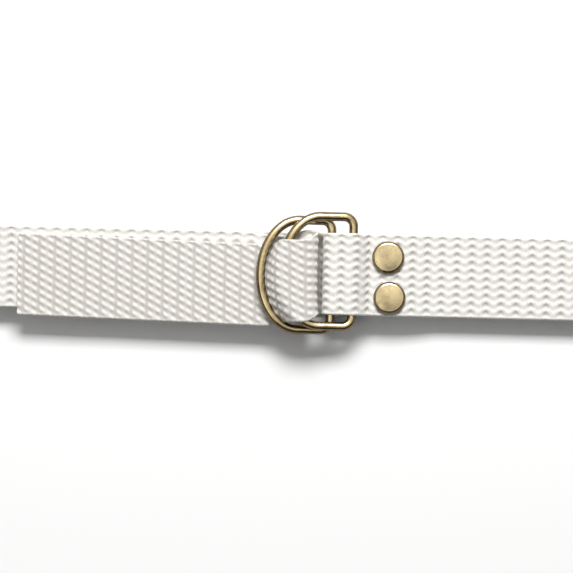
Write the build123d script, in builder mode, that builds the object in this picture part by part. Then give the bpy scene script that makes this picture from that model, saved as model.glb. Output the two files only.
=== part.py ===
"""Gait belt: woven webbing strap, two D-rings held by a riveted loop, fastened and laid flat.

X runs along the strap, +Y across it, +Z up; the belt lies with its back run on z = 0.
The origin is under the middle of the back run.
"""

from build123d import *

import os
from math import asin, atan2, cos, radians, sin, sqrt, tan

# Webbing
width = 50.8
thick = 2.6
half = thick / 2
back_z = half
front_z = 12.0
edge_round = 0.8
end_gap = 0.25
fold_gap = 0.5
slack = 0.05

# Where the strap flexes, measured from the middle
flex = [68.0, 117.3, 166.7, 216.0]
turn_x = 265.35
turn_r = (front_z - back_z) / 2
turn_z = (front_z + back_z) / 2

# D-rings: straight bar at the origin of each ring, nose towards -X
wire = 5.5
ring_tilt = 9.3
ring_depth = 44.3
nose_a = 23.9
ring_b = 33.95
ring_corner = 6.0
lower_bar = (-8.7, -1.05, 13.55)
upper_bar = (4.65, 1.55, 17.25)
wrap_r = wire / 2 + half + 0.2

# Riveted loop
rivet_spots = [(26.5, 11.0), (27.8, -14.0)]
clamp_z = 14.5
layer_step = thick + 0.1
flat_start = 15.0
flat_end = 40.5
ramp_end = 56.0
fold_end = 64.0
loop_drop = 40.0
loop_bend = 8.0
loop_crest = 4.0

# Rivets
cap_d = 20.0
cap_rim = 1.2
cap_h = 3.9
shoulder_r = 7.6
shoulder_h = 3.3
back_d = 13.0
back_h = 1.5
dome_r = (shoulder_r**2 + (cap_h - shoulder_h) ** 2) / (2 * (cap_h - shoulder_h))
dome_mid = cap_h - dome_r + sqrt(dome_r**2 - shoulder_r**2 / 4)
roll_x = shoulder_r + (cap_d / 2 - shoulder_r) * sin(radians(45))
roll_z = cap_rim + (shoulder_h - cap_rim) * sin(radians(45))
cap_edge = 0.4
socket_h = 2.2
socket_play = 0.03
post_r = 2.5
post_reach = 2.1
post_tip = 0.4
back_round = 0.7
hole_r = 2.65

# Free end
tail_z = front_z + layer_step
tail_flex = [90.0, 117.3, 166.7]
tail_tip = 202.6
tail_y0 = -6.4
tail_skew = 1.3 / 134.6

# Loose turn of the strap through the rings
turnback_x = -16.8
turnback_top = 29.9
turnback_low = 17.1
turnback_y = -2.2
turnback_ramp = (-36.5, -28.9)
turnback_taper = 0.1
ramp_bends = (4.0, 3.0)
dive_bends = (3.0, 4.2)
stations = 9
rock_room = 1.0

os.makedirs("parts", exist_ok=True)


def keep(part, name):
    """Label a finished solid and write it out."""
    part.label = name
    export_step(part, f"parts/{name}.step")


def round_path(points, radii):
    """Draw straight runs joined by tangent arcs."""
    last = Vector(*points[0])
    for a, b, c, r in zip(points, points[1:], points[2:], radii):
        corner = Vector(*b)
        before = (Vector(*a) - corner).normalized()
        after = (Vector(*c) - corner).normalized()
        opening = radians(before.get_angle(after)) / 2
        start = corner + before * (r / tan(opening))
        end = corner + after * (r / tan(opening))
        centre = corner + (before + after).normalized() * (r / sin(opening))
        middle = centre + (corner - centre).normalized() * r
        Line(last, start)
        ThreePointArc(start, middle, end)
        last = end
    Line(last, Vector(*points[-1]))


def ring_centre(bar, y):
    """Centre of a ring's wire where its nose crosses the line y."""
    across = (y - bar[1]) / ring_b
    reach = ring_depth - nose_a + nose_a * sqrt(1 - across**2)
    slope = nose_a / ring_b * across / sqrt(1 - across**2)
    clear = wrap_r * sqrt(1 + 0.64 * slope**2)
    tilt = radians(ring_tilt)
    return bar[0] - reach * cos(tilt), bar[2] + reach * sin(tilt), clear


def turnback_corners(y):
    """Corners and bend radii of the loose turn's middle line, at the distance y across."""
    rx, rz, r_clear = ring_centre(upper_bar, y)
    r_clear += rock_room
    lx, lz, l_clear = ring_centre(lower_bar, y)
    dive = atan2(rz - lz, rx - lx)
    dive += asin((r_clear + l_clear) / sqrt((rx - lx) ** 2 + (rz - lz) ** 2))
    px = rx - r_clear * sin(dive)
    pz = rz + r_clear * cos(dive)
    crest = px + (turnback_top - pz) / tan(dive)
    foot = px + (tail_z - pz) / tan(dive)
    nose_x = upper_bar[0] - ring_depth * cos(radians(ring_tilt))
    edge = turnback_x - half + turnback_taper * (rx - nose_x)
    bend = (turnback_top - turnback_low) / 2 - slack
    corners = [(-flex[0] + end_gap, front_z), (turnback_ramp[0], front_z), (turnback_ramp[1], turnback_low)]
    corners += [(edge, turnback_low), (edge, turnback_top), (crest, turnback_top)]
    corners += [(foot, tail_z), (-flex[0] + end_gap, tail_z)]
    return corners, [*ramp_bends, bend, bend, *dive_bends]


def beside(corners, radii, shift):
    """The line parallel to a filleted line, shift to its left, with its own radii."""
    ways = []
    for (ax, az), (bx, bz) in zip(corners, corners[1:]):
        run = sqrt((bx - ax) ** 2 + (bz - az) ** 2)
        ways.append(((bx - ax) / run, (bz - az) / run))
    moved = [(corners[0][0] - shift * ways[0][1], corners[0][1] + shift * ways[0][0])]
    bends = []
    for (x, z), (ux, uz), (wx, wz), r in zip(corners[1:-1], ways, ways[1:], radii):
        scale = shift / (1 + ux * wx + uz * wz)
        moved.append((x - scale * (uz + wz), z + scale * (ux + wx)))
        turns_left = ux * wz - uz * wx > 0
        bends.append(r - shift if turns_left else r + shift)
    moved.append((corners[-1][0] - shift * ways[-1][1], corners[-1][1] + shift * ways[-1][0]))
    return moved, bends


def tail_y(x):
    """Middle of the free end at the distance x to the left of the origin."""
    return tail_y0 + tail_skew * (x - flex[0])


# Back run, lying on the floor
with BuildPart() as back_run:
    with BuildSketch(Plane.YZ.offset(-flex[0] + end_gap)):
        with Locations((0, back_z)):
            RectangleRounded(width, thick, edge_round)
    extrude(amount=2 * (flex[0] - end_gap))
keep(back_run.part, "back_run_centre")

# Straight lengths and folded end lengths on each side
for side, hand in ((1, "right"), (-1, "left")):
    across = Plane.XZ if side > 0 else Plane(origin=(0, 0, 0), x_dir=(-1, 0, 0), z_dir=(0, 1, 0))
    for level, run in ((back_z, "back"), (front_z, "front")):
        for k in range(3):
            with BuildPart() as length:
                with BuildSketch(across):
                    with Locations(((flex[k] + flex[k + 1]) / 2, level)):
                        Rectangle(flex[k + 1] - flex[k] - 2 * end_gap, thick)
                extrude(amount=width / 2, both=True)
                fillet(length.edges().filter_by(Axis.Y, reverse=True).filter_by(Axis.X), edge_round)
            keep(length.part, f"{hand}_{run}_length_{k + 1}")

    with BuildPart() as lower_end:
        with BuildSketch(across):
            with BuildLine():
                Line((flex[3] + end_gap, back_z), (turn_x, back_z))
                CenterArc((turn_x, turn_z), turn_r, -90, 90 - fold_gap)
            trace(line_width=thick)
        extrude(amount=width / 2, both=True)
    keep(lower_end.part, f"{hand}_back_end_length")

    with BuildPart() as upper_end:
        with BuildSketch(across):
            with BuildLine():
                Line((flex[3] + end_gap, front_z), (turn_x, front_z))
                CenterArc((turn_x, turn_z), turn_r, 90, fold_gap - 90)
            trace(line_width=thick)
        extrude(amount=width / 2, both=True)
    keep(upper_end.part, f"{hand}_front_end_length")

# Riveted loop that holds both straight bars
tilt_up = atan2(upper_bar[2] - lower_bar[2], upper_bar[0] - lower_bar[0])
drop = radians(loop_drop)
left_x = lower_bar[0] - wrap_r
under_z = lower_bar[2] - wrap_r
slope_up = tan(tilt_up)
over_z = lower_bar[2] + wrap_r / cos(tilt_up) - slope_up * lower_bar[0]
fall_z = upper_bar[2] + wrap_r / cos(drop) + tan(drop) * upper_bar[0]
peak_x = (fall_z - over_z) / (slope_up + tan(drop))
loop_points = [
    (fold_end, under_z),
    (ramp_end, under_z),
    (flat_end, clamp_z - layer_step),
    (flat_start, clamp_z - layer_step),
    (0, under_z),
    (left_x, under_z),
    (left_x, over_z + slope_up * left_x),
    (peak_x, over_z + slope_up * peak_x),
    ((fall_z - clamp_z) / tan(drop), clamp_z),
    (flat_end, clamp_z),
    (ramp_end, front_z),
    (flex[0] - end_gap, front_z),
]
tight = wrap_r - slack
loop_radii = [loop_bend] * 4 + [tight] * 3 + [loop_crest] + [loop_bend] * 2
with BuildPart() as ring_loop:
    with BuildSketch(Plane.XZ):
        with BuildLine():
            round_path(loop_points, loop_radii)
        trace(line_width=thick)
    extrude(amount=width / 2, both=True)
    with BuildSketch(Plane.XY.offset(clamp_z)):
        with Locations(*rivet_spots):
            Circle(hole_r)
    extrude(amount=2 * layer_step, both=True, mode=Mode.SUBTRACT)
keep(ring_loop.part, "riveted_ring_loop")

# D-rings
for bar, name in ((lower_bar, "lower_d_ring"), (upper_bar, "upper_d_ring")):
    tilt = radians(ring_tilt)
    flat = Plane(origin=bar, x_dir=(-cos(tilt), 0, sin(tilt)), z_dir=(sin(tilt), 0, cos(tilt)))
    arm_end = ring_depth - nose_a
    bar_end = ring_b - ring_corner
    with BuildPart() as ring:
        with BuildLine(flat) as outline:
            Line((0, -bar_end), (0, bar_end))
            RadiusArc((0, bar_end), (ring_corner, ring_b), ring_corner)
            Line((ring_corner, ring_b), (arm_end, ring_b))
            EllipticalCenterArc((arm_end, 0), nose_a, ring_b, start_angle=-90, arc_size=180)
            Line((arm_end, -ring_b), (ring_corner, -ring_b))
            RadiusArc((ring_corner, -ring_b), (0, -bar_end), ring_corner)
        with BuildSketch(Plane(origin=flat.from_local_coords((0, 0, 0)), z_dir=(0, 1, 0))):
            Circle(wire / 2)
        sweep(path=outline.wires()[0])
    keep(ring.part, name)

# Rivets through both layers of the loop
for (x, y), name in zip(rivet_spots, ("upper_rivet", "lower_rivet")):
    top = clamp_z + half + slack
    under = clamp_z - layer_step - half - slack
    with BuildPart() as cap:
        with BuildSketch(Plane(origin=(x, y, top), x_dir=(1, 0, 0), z_dir=(0, -1, 0))):
            with BuildLine():
                Line((0, 0), (cap_d / 2 - cap_edge, 0))
                Line((cap_d / 2 - cap_edge, 0), (cap_d / 2, cap_edge))
                Line((cap_d / 2, cap_edge), (cap_d / 2, cap_rim))
                ThreePointArc((cap_d / 2, cap_rim), (roll_x, roll_z), (shoulder_r, shoulder_h))
                ThreePointArc((shoulder_r, shoulder_h), (shoulder_r / 2, dome_mid), (0, cap_h))
                Line((0, cap_h), (0, 0))
            make_face()
            with Locations((0, 0)):
                Rectangle(2 * (post_r + socket_play), 2 * socket_h, mode=Mode.SUBTRACT)
        revolve(axis=Axis((x, y, 0), (0, 0, 1)))
    keep(cap.part, f"{name}_cap")

    with BuildPart() as post:
        with BuildSketch(Plane.XY.offset(under - back_h)):
            with Locations((x, y)):
                Circle(back_d / 2)
        extrude(amount=back_h)
        fillet(post.edges().group_by(Axis.Z)[0], back_round)
        with BuildSketch(Plane.XY.offset(under)):
            with Locations((x, y)):
                Circle(post_r)
        extrude(amount=top + post_reach - under)
        chamfer(post.edges().group_by(Axis.Z)[-1], post_tip)
    keep(post.part, f"{name}_post")

# Loose turn of the strap through both rings
with BuildPart() as turnback:
    for k in range(stations):
        y = turnback_y + width * (k / (stations - 1) - 0.5)
        corners, radii = turnback_corners(y)
        near, near_bends = beside(corners, radii, half)
        far, far_bends = beside(corners, radii, -half)
        with BuildSketch(Plane(origin=(0, y, 0), x_dir=(1, 0, 0), z_dir=(0, -1, 0))):
            with BuildLine():
                round_path(near, near_bends)
                Line(near[-1], far[-1])
                round_path(far, far_bends)
                Line(near[0], far[0])
            make_face()
    loft()
keep(turnback.part, "ring_turnback")

# Free end, lying on the front run
tail_cuts = [flex[0]] + tail_flex + [tail_tip]
for k, name in enumerate(("free_end_start", "free_end_length_1", "free_end_length_2", "free_end_tip")):
    near = tail_cuts[k] + end_gap
    far = tail_cuts[k + 1] - (end_gap if k < 3 else 0)
    lean = Plane(
        origin=(-near, tail_y(near), tail_z),
        x_dir=(0, 1, 0),
        z_dir=(-1, 0, 0),
    )
    with BuildPart() as length:
        with BuildSketch(lean):
            RectangleRounded(width, thick, edge_round)
        with BuildSketch(Plane(origin=(-far, tail_y(far), tail_z), x_dir=(0, 1, 0), z_dir=(-1, 0, 0))):
            RectangleRounded(width, thick, edge_round)
        loft()
    keep(length.part, name)
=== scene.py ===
import math

import bpy
import numpy as np
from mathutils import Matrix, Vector


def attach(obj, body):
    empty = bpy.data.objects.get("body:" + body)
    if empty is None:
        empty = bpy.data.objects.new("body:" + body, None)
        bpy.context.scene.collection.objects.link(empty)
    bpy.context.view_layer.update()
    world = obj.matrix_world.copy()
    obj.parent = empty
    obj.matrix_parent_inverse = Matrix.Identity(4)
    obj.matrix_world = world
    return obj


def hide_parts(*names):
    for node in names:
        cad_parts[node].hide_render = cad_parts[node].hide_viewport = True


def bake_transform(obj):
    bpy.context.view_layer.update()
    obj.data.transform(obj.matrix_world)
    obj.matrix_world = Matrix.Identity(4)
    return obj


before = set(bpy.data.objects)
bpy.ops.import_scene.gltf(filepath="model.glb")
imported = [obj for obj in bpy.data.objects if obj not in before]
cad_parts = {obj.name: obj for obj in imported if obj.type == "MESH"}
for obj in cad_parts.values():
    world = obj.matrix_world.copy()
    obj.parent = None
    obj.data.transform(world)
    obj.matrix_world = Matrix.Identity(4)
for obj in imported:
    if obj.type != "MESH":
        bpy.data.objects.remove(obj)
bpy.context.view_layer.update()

MM = 0.001

# Webbing, in millimetres: half its thickness, the rounding of its edges and the repeats of its weave
WIDTH = 50.8
HALF = 1.3
EDGE = 1.0
EDGE_BAND = 2.2
ROW = 5.05
OUTER_REPEAT = 9.3
INNER_REPEAT = 9.6
YARNS_IN_RIB = 3
ACROSS = np.linspace(-WIDTH / 2, WIDTH / 2, 77)

# Heights of the strap's middle line, and the places along x where it folds, flexes and ends
BACK_Z = 1.3
FRONT_Z = 12.0
TAIL_Z = 14.7
TURN_X = 265.35
TURN_R = (FRONT_Z - BACK_Z) / 2
FLEX = [68.0, 117.3, 166.7, 216.0]
TAIL_START = 56.0
TAIL_LIFT = 80.0
TAIL_MIDDLE = 98.0
TAIL_END_PIECE = 142.0
TAIL_TIP = 202.6
TIP_RISE = 0.35
TIP_RISE_LENGTH = 30.0
RAMP_END = 56.0
CLAMP_END = 40.5
CLAMP_Z = 14.5
LAYER = 2.7
LOOP_TO_RUN = 57.0
RUN_TO_TURN = -46.0


def smooth(t):
    """A smooth step from 0 to 1, as t goes from 0 to 1."""
    t = np.clip(t, 0.0, 1.0)
    return t * t * (3 - 2 * t)


def corner_arc(a, b, c, r):
    """The arc of radius r in the corner at b: its start, its centre, its first angle and how far it turns."""
    a, b, c = (np.array(p, float) for p in (a, b, c))
    u = (a - b) / np.linalg.norm(a - b)
    w = (c - b) / np.linalg.norm(c - b)
    half = math.acos(max(-1.0, min(1.0, float(u @ w)))) / 2
    start, end = b + u * r / math.tan(half), b + w * r / math.tan(half)
    centre = b + (u + w) / np.linalg.norm(u + w) * r / math.sin(half)
    first = math.atan2(*(start - centre)[::-1])
    turn = (math.atan2(*(end - centre)[::-1]) - first + math.pi) % (2 * math.pi) - math.pi
    return start, centre, first, turn


def rounded(points, radii, step):
    """Points along straight runs joined by arcs, about a step apart."""
    out = [np.array(points[0], float)]
    for a, b, c, r in zip(points, points[1:], points[2:], radii):
        start, centre, first, turn = corner_arc(a, b, c, r)
        add_line(out, start, step)
        n = max(3, int(abs(turn) * r / step))
        for k in range(1, n + 1):
            t = first + turn * k / n
            out.append(centre + r * np.array([math.cos(t), math.sin(t)]))
    add_line(out, np.array(points[-1], float), step)
    return np.array(out)


def add_line(out, end, step):
    """Add evenly spaced points from the last one to the end."""
    start = out[-1]
    length = float(np.linalg.norm(end - start))
    n = max(1, int(round(length / step)))
    for k in range(1, n + 1):
        out.append(start + (end - start) * k / n)


# ---------------------------------------------------------------- webbing

def outer_weave(s, v):
    """Height of the outer face: zigzag ribs along the strap, with deep pits under the peaks."""
    wave = 2 * np.abs(2 * ((s / OUTER_REPEAT) % 1) - 1) - 1
    across = v / ROW - 0.25 * wave
    rib = 0.5 + 0.5 * np.cos(2 * np.pi * across)
    groove = (1 - rib) ** 1.3
    pit = smooth((wave + 0.15) / 0.9)
    trough = smooth((-wave - 0.15) / 0.9)
    slack = smooth((0.30 - np.abs(wave)) / 0.30)
    yarns = 0.05 * np.cos(2 * np.pi * across * YARNS_IN_RIB) * rib
    return (-0.95 * groove * (0.34 + 0.66 * pit) - 0.20 * slack * (0.4 + 0.6 * rib)
            + 0.16 * rib * (pit + 0.8 * trough) + yarns)


def inner_weave(s, v):
    """Height of the inner face: short slanted floats in columns, each float two lumps long."""
    t = (s / INNER_REPEAT) % 1
    across = v / ROW - s / INNER_REPEAT
    rib = 0.5 + 0.5 * np.cos(2 * np.pi * across)
    gap = smooth((np.abs(2 * t - 1) - 0.62) / 0.38)
    lump = 0.5 + 0.5 * np.cos(4 * np.pi * (t - 0.25))
    groove = (1 - rib) ** 1.1
    yarns = 0.03 * np.cos(2 * np.pi * across * YARNS_IN_RIB) * rib
    valley = (1 - lump) * (0.26 + 0.50 * gap)
    return -0.85 * groove * (0.55 + 0.45 * lump) - valley * (0.4 + 0.6 * rib) + 0.10 * rib * lump + yarns


def mesh_object(name, verts, faces, uvs):
    """A smooth mesh from millimetres, with its place on the strap as its UV map."""
    mesh = bpy.data.meshes.new(name)
    mesh.from_pydata([tuple(p) for p in verts * MM], [], faces)
    layer = mesh.uv_layers.new(name="strap")
    loops = np.empty(len(mesh.loops), dtype=np.int32)
    mesh.loops.foreach_get("vertex_index", loops)
    layer.data.foreach_set("uv", uvs[loops].astype(np.float32).ravel())
    mesh.polygons.foreach_set("use_smooth", [True] * len(mesh.polygons))
    obj = bpy.data.objects.new(name, mesh)
    bpy.context.scene.collection.objects.link(obj)
    return obj


def webbing(name, grid, s):
    """A length of woven webbing through a grid of middle points.

    The outer face is on the left of its travel.
    """
    n, m = grid.shape[:2]
    along_s, across_v = np.meshgrid(s, ACROSS, indexing="ij")
    normal = np.cross(np.gradient(grid, axis=0), np.gradient(grid, axis=1))
    normal /= np.linalg.norm(normal, axis=-1, keepdims=True)
    inset = np.clip((np.abs(across_v) - (WIDTH / 2 - EDGE)) / EDGE, 0, 1)
    body = HALF * np.sqrt(np.clip(1 - inset**2 * 0.96, 0, 1))
    in_band = np.abs(across_v) - (WIDTH / 2 - EDGE_BAND)
    fade = 1 - 0.75 * smooth(in_band / 1.8)
    selvedge = 0.10 * np.cos(2 * np.pi * along_s / 2.4) * smooth(in_band / 1.4)
    outer, inner = outer_weave(along_s, across_v), inner_weave(along_s, across_v)
    top = grid + normal * (body + outer * fade + selvedge)[..., None]
    low = grid - normal * (body + inner * fade + selvedge)[..., None]
    verts = np.concatenate([top.reshape(-1, 3), low.reshape(-1, 3)])
    uvs = np.concatenate([
        np.stack([along_s, across_v], -1).reshape(-1, 2),
        np.stack([along_s, across_v + 100], -1).reshape(-1, 2),
    ]) * MM
    faces = []
    off = n * m
    for i in range(n - 1):
        a = i * m
        for k in range(m - 1):
            faces.append((a + k, a + m + k, a + m + k + 1, a + k + 1))
            faces.append((off + a + k, off + a + k + 1, off + a + m + k + 1, off + a + m + k))
        faces.append((a, off + a, off + a + m, a + m))
        b = a + m - 1
        faces.append((b, b + m, off + b + m, off + b))
    e = (n - 1) * m
    for k in range(m - 1):
        faces.append((k, k + 1, off + k + 1, off + k))
        faces.append((e + k, off + e + k, off + e + k + 1, e + k + 1))
    obj = mesh_object(name, verts, faces, uvs)
    # The weave's height, used by the cotton to paint shade into its hollows
    relief = obj.data.attributes.new("relief", "FLOAT", "POINT")
    relief.data.foreach_set("value", np.concatenate([outer.ravel(), inner.ravel()]).astype(np.float32))
    cap_sharp(obj, off, m, e)
    obj.data.materials.append(cotton)
    return obj


def cap_sharp(obj, off, m, e):
    """Keep the cut ends sharp. A row has m points, the inner face starts at off and the last row at e."""
    ends = set(range(m)) | set(range(e, e + m)) | set(range(off, off + m)) | set(range(off + e, off + e + m))
    mesh = obj.data
    attribute = mesh.attributes.new("sharp_edge", "BOOLEAN", "EDGE")
    pairs = np.empty(len(mesh.edges) * 2, dtype=np.int32)
    mesh.edges.foreach_get("vertices", pairs)
    pairs = pairs.reshape(-1, 2)
    inside = np.isin(pairs, list(ends)).all(axis=1)
    attribute.data.foreach_set("value", inside)


# ---------------------------------------------------------------- materials

class Nodes:
    """Small helper for building a node tree."""

    def __init__(self, name):
        self.material = bpy.data.materials.new(name)
        self.material.use_nodes = True
        self.tree = self.material.node_tree
        self.shader = self.tree.nodes["Principled BSDF"]

    def add(self, kind, **inputs):
        node = self.tree.nodes.new(kind)
        for key, value in inputs.items():
            self.put(node, key.replace("_", " "), value)
        return node

    def put(self, node, key, value):
        """Give an input, by name or number, a value, a node's first output or a (node, output)."""
        socket = node.inputs[key]
        if isinstance(value, tuple) and hasattr(value[0], "outputs"):
            self.tree.links.new(value[0].outputs[value[1]], socket)
        elif hasattr(value, "outputs"):
            self.tree.links.new(value.outputs[0], socket)
        else:
            socket.default_value = value

    def math(self, op, a, b=0.0):
        node = self.tree.nodes.new("ShaderNodeMath")
        node.operation = op
        self.put(node, 0, a)
        self.put(node, 1, b)
        return node

    def mix(self, fac, a, b, blend="MIX"):
        node = self.tree.nodes.new("ShaderNodeMix")
        node.data_type = "RGBA"
        node.blend_type = blend
        for key, value in ((0, fac), (6, a), (7, b)):
            self.put(node, key, value)
        return (node, 2)

    def ramp(self, value, low, high):
        node = self.add("ShaderNodeMapRange", Value=value)
        node.inputs["From Min"].default_value = low
        node.inputs["From Max"].default_value = high
        return node


def make_cotton():
    """Woven cotton: painted shade in the hollows of the weave, with fine yarn relief."""
    n = Nodes("woven_cotton")
    uv = n.add("ShaderNodeUVMap")
    uv.uv_map = "strap"
    place = n.add("ShaderNodeTexCoord")
    yarn = n.add("ShaderNodeTexWave", Vector=uv, Scale=260.0, Distortion=2.2, Detail=2.0)
    yarn.inputs["Detail Scale"].default_value = 3.0
    yarn.bands_direction = "DIAGONAL"
    fuzz = n.add("ShaderNodeTexNoise", Vector=uv, Scale=2600.0, Detail=4.0, Roughness=0.65)
    slub = n.add("ShaderNodeTexNoise", Vector=uv, Scale=420.0, Detail=3.0)
    broad = n.add("ShaderNodeTexNoise", Vector=(place, 3), Scale=26.0, Detail=3.0)
    tone = n.mix(n.ramp(broad, 0.35, 0.7), (0.85, 0.838, 0.805, 1), (0.885, 0.876, 0.85, 1))
    # Painted shade: the colour darkens towards (0.55, 0.525, 0.49) in the hollows of the weave, where shade
    # falls
    relief = n.tree.nodes.new("ShaderNodeAttribute")
    relief.attribute_name = "relief"
    height = n.ramp((relief, 2), -0.75, 0.05)
    tone = n.mix(height, (0.55, 0.525, 0.49, 1), tone)
    tone = n.mix(n.ramp(slub, 0.62, 0.40), tone, (0.93, 0.92, 0.89, 1), "MULTIPLY")
    n.put(n.shader, "Base Color", tone)
    rough = n.math("MULTIPLY_ADD", fuzz, 0.15)
    rough.inputs[2].default_value = 0.80
    n.put(n.shader, "Roughness", rough)
    n.shader.inputs["Sheen Weight"].default_value = 0.25
    n.shader.inputs["Sheen Roughness"].default_value = 0.5
    n.shader.inputs["Specular IOR Level"].default_value = 0.2
    height = n.math("ADD", n.math("MULTIPLY", yarn, 0.6), n.math("MULTIPLY", fuzz, 0.5))
    bump = n.add("ShaderNodeBump", Strength=0.35, Distance=0.00016, Height=height)
    n.put(n.shader, "Normal", bump)
    return n.material


def make_brass(name, colour, rough, scratch):
    """Worn brass, with darker blotches as a painted reflection and painted shade down its sides."""
    n = Nodes(name)
    place = n.add("ShaderNodeTexCoord")
    # Painted reflection: random blotches darken the colour, standing in for an uneven room seen in the brass
    cloud = n.add("ShaderNodeTexNoise", Vector=(place, 3), Scale=140.0, Detail=5.0, Roughness=0.6)
    fine = n.add("ShaderNodeTexNoise", Vector=(place, 3), Scale=scratch, Detail=6.0, Roughness=0.7)
    dull_reflection = tuple(c * 0.62 for c in colour[:3]) + (1,)
    tone = n.mix(n.ramp(cloud, 0.40, 0.66), colour, dull_reflection)
    # Painted shade: the colour darkens to deep brown where the surface turns away from up, down the sides
    normal = n.add("ShaderNodeSeparateXYZ", Vector=(place, 1))
    side_shade = n.ramp((normal, 2), 0.93, 0.52)
    n.put(n.shader, "Base Color", n.mix(side_shade, tone, (0.13, 0.077, 0.034, 1)))
    n.shader.inputs["Metallic"].default_value = 1.0
    wear = n.math("MULTIPLY_ADD", fine, 0.16)
    wear.inputs[2].default_value = rough
    n.put(n.shader, "Roughness", wear)
    bump = n.add("ShaderNodeBump", Strength=0.12, Distance=0.00012, Height=fine)
    n.put(n.shader, "Normal", bump)
    return n.material


cotton = make_cotton()
ring_brass = make_brass("polished_ring_brass", (0.78, 0.62, 0.34, 1), 0.13, 900.0)
rivet_brass = make_brass("polished_rivet_brass", (0.80, 0.64, 0.36, 1), 0.15, 700.0)

# ---------------------------------------------------------------- strap

def along(line):
    """Each point's distance along a line."""
    seg = np.linalg.norm(np.diff(line, axis=0), axis=1)
    return np.concatenate([[0], np.cumsum(seg)])


def piece_of(line, s, a, b, step=0.8):
    """Evenly spaced points of the line between the distances a and b."""
    n = max(4, int(round((b - a) / step)))
    at = np.linspace(a, b, n + 1)
    return np.stack([np.interp(at, s, line[:, 0]), np.interp(at, s, line[:, 1])], -1), at


def sheet(line, middle):
    """Grid of middle points, with the belt's middle at middle(x)."""
    n = len(line)
    grid = np.empty((n, len(ACROSS), 3))
    grid[..., 0] = line[:, 0][:, None]
    grid[..., 2] = line[:, 1][:, None]
    grid[..., 1] = middle(line[:, 0])[:, None] + ACROSS[None, :]
    return grid


# Rings: straight bars as x, y, z of their wire, and nose ellipse. Then the loose turn through them
LOWER_BAR = (-8.7, -1.05, 13.55)
UPPER_BAR = (4.65, 1.55, 17.25)
WRAP = 4.25
TILT = math.radians(9.3)
RING_DEPTH = 44.3
NOSE_A = 23.9
RING_B = 33.95
ROCK_ROOM = 1.0
NOSE_X = UPPER_BAR[0] - RING_DEPTH * math.cos(TILT)
TURN_Y = -3.0
TURN_EDGE = -16.8
TURN_TOP = 29.9
TURN_LOW = 17.1
PER_STRETCH = 24
TURN_SMOOTHING = 6


def low_middle(x):
    """Middle of the front run where it nears the rings."""
    return TURN_Y * smooth((x + FLEX[0] - 1) / 31.0)


def high_middle(x):
    """Middle of the free end."""
    return -4.6 - 2.9 * (x + TAIL_TIP) / 131.6


def straight(x):
    """Middle of the straight strap."""
    return np.zeros_like(x)


# Riveted loop: cut end under the strap, round both straight bars, over to the front run
rise = math.atan2(UPPER_BAR[2] - LOWER_BAR[2], UPPER_BAR[0] - LOWER_BAR[0])
fall = math.radians(40)
left_x = LOWER_BAR[0] - WRAP
under_z = LOWER_BAR[2] - WRAP
over_z = LOWER_BAR[2] + WRAP / math.cos(rise) - math.tan(rise) * LOWER_BAR[0]
fall_z = UPPER_BAR[2] + WRAP / math.cos(fall) + math.tan(fall) * UPPER_BAR[0]
peak_x = (fall_z - over_z) / (math.tan(rise) + math.tan(fall))
loop_line = rounded(
    [(64, under_z), (RAMP_END, under_z), (CLAMP_END, CLAMP_Z - LAYER), (15, CLAMP_Z - LAYER), (0, under_z),
     (left_x, under_z),
     (left_x, over_z + math.tan(rise) * left_x), (peak_x, over_z + math.tan(rise) * peak_x),
     ((fall_z - CLAMP_Z) / math.tan(fall), CLAMP_Z), (CLAMP_END, CLAMP_Z), (RAMP_END, FRONT_Z),
     (TURN_X + TURN_R, FRONT_Z), (TURN_X + TURN_R, BACK_Z),
     (-TURN_X - TURN_R, BACK_Z), (-TURN_X - TURN_R, FRONT_Z), (RUN_TO_TURN, FRONT_Z)],
    [8, 8, 8, 8, 4.2, 4.2, 4.2, 4, 8, 8] + [TURN_R - 0.001] * 4,
    step=0.1,
)
loop_s = along(loop_line)


def s_front(x):
    """Distance along the strap of a point on the front run."""
    if x > 0:
        k = np.flatnonzero((loop_line[:, 0] >= x) & (loop_s > 120))[0]
        return loop_s[k] + (x - loop_line[k, 0])
    return loop_s[-1] - (RUN_TO_TURN - x)


turn_right_s = s_front(TURN_X)
arc = math.pi * TURN_R
back_right_s = turn_right_s + arc
back_left_s = back_right_s + 2 * TURN_X
front_left_s = back_left_s + arc


def s_back(x):
    """Distance along the strap of a point on the back run."""
    return back_right_s + (TURN_X - x)


joints = []
for k, x in enumerate(FLEX):
    inner = "loop_end" if k == 0 else f"right_front_length_{k}_body"
    outer = f"right_front_length_{k + 1}_body" if k < 3 else "right_front_end_length_body"
    joints.append((s_front(x), inner, outer))
joints.append((turn_right_s + arc / 2, "right_front_end_length_body", "right_back_end_length_body"))
for k in (3, 2, 1, 0):
    outer = f"right_back_length_{k + 1}_body" if k < 3 else "right_back_end_length_body"
    inner = "back_run" if k == 0 else f"right_back_length_{k}_body"
    joints.append((s_back(FLEX[k]), outer, inner))
for k in range(4):
    inner = "back_run" if k == 0 else f"left_back_length_{k}_body"
    outer = f"left_back_length_{k + 1}_body" if k < 3 else "left_back_end_length_body"
    joints.append((s_back(-FLEX[k]), inner, outer))
joints.append((back_left_s + arc / 2, "left_back_end_length_body", "left_front_end_length_body"))
for k in (3, 2, 1, 0):
    outer = f"left_front_length_{k + 1}_body" if k < 3 else "left_front_end_length_body"
    inner = "turnback_end" if k == 0 else f"left_front_length_{k}_body"
    joints.append((s_front(-FLEX[k]), outer, inner))


def point(s):
    """The point at a distance along the strap."""
    return np.array([np.interp(s, loop_s, loop_line[:, 0]), 0.0, np.interp(s, loop_s, loop_line[:, 1])])


def bent(obj):
    """Bake the object's placement into its mesh."""
    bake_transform(obj)


cuts = [s_front(LOOP_TO_RUN)]
for here, following in zip(joints, joints[1:]):
    cuts.append((here[0] + following[0]) / 2)
cuts.append(loop_s[-1])
number = 0


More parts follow.
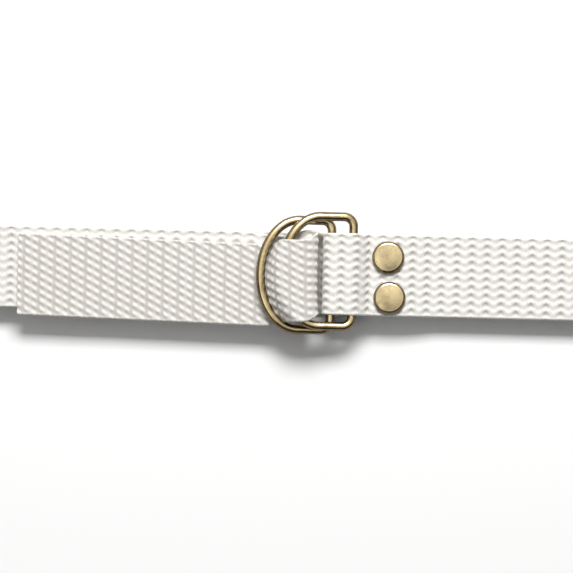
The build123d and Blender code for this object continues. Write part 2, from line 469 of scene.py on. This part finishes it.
def strap_length(a, b, middle=straight):
    """The next numbered length of the strap, between two distances along it."""
    global number
    number += 1
    line, at = piece_of(loop_line, loop_s, a, b)
    return webbing(f"strap_length_{number:02d}", sheet(line, middle), at)


for k, (s, a, b) in enumerate(joints):
    here = point(s)
    way = point(s + 0.5) - point(s - 0.5)
    way /= np.linalg.norm(way)
    if abs(here[0]) > TURN_X:
        # The fold is made as two lengths, split at its middle
        out = np.array([math.copysign(1.0, here[0]), 0.0, 0.0])
        for first, last, aim, near, far in (
            (cuts[k], s, way + out, 0.0, 2.0),
            (s, cuts[k + 1], way - out, -2.0, 0.0),
        ):
            aim = aim / math.sqrt(2)
            bent(strap_length(first, last))
        continue
    obj = strap_length(cuts[k], cuts[k + 1], low_middle if k == len(joints) - 1 else straight)
    bent(obj)

line, at = piece_of(loop_line, loop_s, 0.0, s_front(LOOP_TO_RUN), step=0.6)
loop = webbing("strap_riveted_loop", sheet(line, straight), at)
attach(loop, "loop_end")


def ring_centre(bar, y):
    """Centre of a ring's wire where its nose crosses the line y, and the strap's clearance from it."""
    across = (y - bar[1]) / RING_B
    reach = RING_DEPTH - NOSE_A + NOSE_A * math.sqrt(1 - across**2)
    slope = NOSE_A / RING_B * across / math.sqrt(1 - across**2)
    clear = WRAP * math.sqrt(1 + 0.64 * slope**2)
    return bar[0] - reach * math.cos(TILT), bar[2] + reach * math.sin(TILT), clear


def add_stretch(out, end):
    """Add a fixed count of points from the last one to the end."""
    last = np.array(out[-1], float)
    for j in range(1, PER_STRETCH + 1):
        out.append(tuple(last + (end - last) * j / PER_STRETCH))


def turn_section(v):
    """The loose turn's middle line at the distance v from the belt's middle."""
    y = TURN_Y + v
    rx, rz, rc = ring_centre(UPPER_BAR, y)
    rc += ROCK_ROOM
    lx, lz, lc = ring_centre(LOWER_BAR, y)
    dive = math.atan2(rz - lz, rx - lx) + math.asin((rc + lc) / math.hypot(rx - lx, rz - lz))
    px, pz = rx - rc * math.sin(dive), rz + rc * math.cos(dive)
    edge = TURN_EDGE - HALF + 0.1 * (rx - NOSE_X)
    crest = px + (TURN_TOP - pz) / math.tan(dive)
    foot = px + (TAIL_Z - pz) / math.tan(dive)
    points = [(RUN_TO_TURN, FRONT_Z), (-36.5, FRONT_Z), (-28.9, TURN_LOW), (edge, TURN_LOW),
              (edge, TURN_TOP), (crest, TURN_TOP), (foot, TAIL_Z), (-TAIL_START, TAIL_Z)]
    radii = [4.0, 3.0, 6.35, 6.35, 3.0, 4.2]
    out = [points[0]]
    for k, r in enumerate(radii):
        start, centre, first, turn = corner_arc(*points[k:k + 3], r)
        add_stretch(out, start)
        for j in range(1, PER_STRETCH + 1):
            t = first + turn * j / PER_STRETCH
            out.append((centre[0] + r * math.cos(t), centre[1] + r * math.sin(t)))
    add_stretch(out, np.array(points[-1]))
    return np.array(out)


sections = np.stack([turn_section(v) for v in ACROSS], axis=1)
centre_s = along(sections[:, len(ACROSS) // 2])
count = int(centre_s[-1] / 0.7)
at = np.linspace(0, centre_s[-1], count)
way_round = at / centre_s[-1]
raised = 4.4 * smooth((way_round - 0.08) / 0.2) * (1 - smooth((way_round - 0.34) / 0.22))
lowered = 1.8 * smooth((way_round - 0.38) / 0.16) * (1 - smooth((way_round - 0.66) / 0.2))
grid = np.empty((count, len(ACROSS), 3))
for j, v in enumerate(ACROSS):
    own = along(sections[:, j])
    own = own / own[-1] * centre_s[-1]
    x = np.interp(at, own, sections[:, j, 0])
    z = np.interp(at, own, sections[:, j, 1])
    upper = at > centre_s[-1] * 0.5
    grid[:, j, 0], grid[:, j, 2] = x, z
    skew = smooth((way_round - 0.68) / 0.24)
    middle = np.where(upper, TURN_Y + (high_middle(x) - TURN_Y) * skew, low_middle(x))
    grid[:, j, 1] = middle + raised - lowered + v
for _ in range(TURN_SMOOTHING):
    grid[1:-1] = (grid[:-2] + 2 * grid[1:-1] + grid[2:]) / 4
turnback = webbing("strap_turn_through_rings", grid, loop_s[-1] + at)
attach(turnback, "turnback_end")

# Free end lying on the front run. Its tip rises a little, to stay clear of the strap when the loop opens
tail_s = loop_s[-1] + centre_s[-1]


def tail_piece(name, near, far, a, b, start, end):
    """A length of the free end between two distances left of the origin; start and end are not used."""
    n = int((far - near) / 0.8)
    x = -np.linspace(near, far, n + 1)
    risen = TIP_RISE * smooth((-x - TAIL_END_PIECE) / TIP_RISE_LENGTH)
    line = np.stack([x, TAIL_Z + risen], -1)
    obj = webbing(name, sheet(line, high_middle), tail_s - TAIL_START - x)
    bent(obj)


for row in (
    ("strap_free_end_start", TAIL_START, TAIL_LIFT, "turnback_end", "left_front_length_1_body", 57.0, 79.0),
    ("strap_free_end_lift", TAIL_LIFT, TAIL_MIDDLE, "left_front_length_1_body", "free_end_1", 82.0, 97.5),
    ("strap_free_end_middle", TAIL_MIDDLE, TAIL_END_PIECE, "free_end_1", "free_end_2", 98.5, 136.1),
    ("strap_free_end_tip", TAIL_END_PIECE, TAIL_TIP, "free_end_2", "free_end_3", 147.0, 186.4),
):
    tail_piece(*row)

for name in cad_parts:
    if name == "ring_turnback" or "free_end" in name:
        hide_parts(name)
    elif "length" in name or name in ("riveted_ring_loop", "back_run_centre"):
        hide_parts(name)

# ---------------------------------------------------------------- brass, from the CAD

def finish_node(name, material):
    """Give a CAD solid its finish."""
    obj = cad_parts[name]
    mesh = obj.data
    if mesh.materials:
        for k in range(len(obj.material_slots)):
            obj.material_slots[k].material = material
    else:
        mesh.materials.append(material)


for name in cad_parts:
    if name.endswith("d_ring"):
        finish_node(name, ring_brass)
    elif name.endswith(("_cap", "_post")):
        finish_node(name, rivet_brass)

# ---------------------------------------------------------------- floor, light, camera

FLOOR_REACH = 3.0
FLOOR_DROP = 0.0002
SENSOR = 36.0
PICTURE_DISTANCE = 2.6
PICTURE_WIDTH = 0.3552


def make_floor():
    """A plain pale sheet under the belt."""
    mesh = bpy.data.meshes.new("floor")
    r = FLOOR_REACH
    mesh.from_pydata([(-r, -r, 0), (r, -r, 0), (r, r, 0), (-r, r, 0)], [], [(0, 1, 2, 3)])
    obj = bpy.data.objects.new("floor", mesh)
    bpy.context.scene.collection.objects.link(obj)
    obj.location.z = -FLOOR_DROP
    paper = bpy.data.materials.new("pale_floor")
    paper.use_nodes = True
    shader = paper.node_tree.nodes["Principled BSDF"]
    shader.inputs["Base Color"].default_value = (0.93, 0.93, 0.925, 1)
    shader.inputs["Roughness"].default_value = 0.9
    shader.inputs["Specular IOR Level"].default_value = 0.1
    mesh.materials.append(paper)


def area_light(name, place, target, size, power, size_y=None):
    """A soft rectangular light aimed at the target."""
    data = bpy.data.lights.new(name, "AREA")
    data.shape = "RECTANGLE"
    data.size = size
    data.size_y = size_y or size
    data.energy = power
    obj = bpy.data.objects.new(name, data)
    bpy.context.scene.collection.objects.link(obj)
    obj.location = place
    way = Vector(target) - Vector(place)
    obj.rotation_euler = way.to_track_quat("-Z", "Y").to_euler()
    return obj


make_floor()
area_light("key", (0.0, 1.5, 1.6), (0, 0, 0), 1.2, 58.0, 0.6)
area_light("fill", (-0.8, -0.6, 1.9), (0, 0, 0), 1.2, 4.0)

world = bpy.data.worlds.new("studio")
bpy.context.scene.world = world
world.use_nodes = True
tree = world.node_tree
back = tree.nodes["Background"]
coord = tree.nodes.new("ShaderNodeTexCoord")
facing = tree.nodes.new("ShaderNodeVectorMath")
facing.operation = "DOT_PRODUCT"
facing.inputs[1].default_value = (0.0, 0.55, 0.835)
ramp = tree.nodes.new("ShaderNodeValToRGB")
tree.links.new(coord.outputs["Generated"], facing.inputs[0])
tree.links.new(facing.outputs["Value"], ramp.inputs[0])
ramp.color_ramp.elements[0].position = 0.42
ramp.color_ramp.elements[0].color = (0.03, 0.03, 0.03, 1)
ramp.color_ramp.elements[1].position = 0.97
ramp.color_ramp.elements[1].color = (1.0, 1.0, 1.0, 1)
tree.links.new(ramp.outputs[0], back.inputs[0])
path = tree.nodes.new("ShaderNodeLightPath")
strength = tree.nodes.new("ShaderNodeMapRange")
strength.inputs["To Min"].default_value = 0.58
strength.inputs["To Max"].default_value = 1.15
tree.links.new(path.outputs["Is Glossy Ray"], strength.inputs["Value"])
tree.links.new(strength.outputs[0], back.inputs[1])

camera = bpy.data.cameras.new("camera")
view = bpy.data.objects.new("camera", camera)
bpy.context.scene.collection.objects.link(view)
view.location = (-0.0361, -0.00844, 2.614)
view.rotation_euler = (0, 0, math.radians(1.4))
camera.sensor_width = SENSOR
camera.lens = SENSOR * PICTURE_DISTANCE / PICTURE_WIDTH
camera.clip_end = 20.0
bpy.context.scene.camera = view
bpy.context.scene.view_settings.view_transform = "Standard"
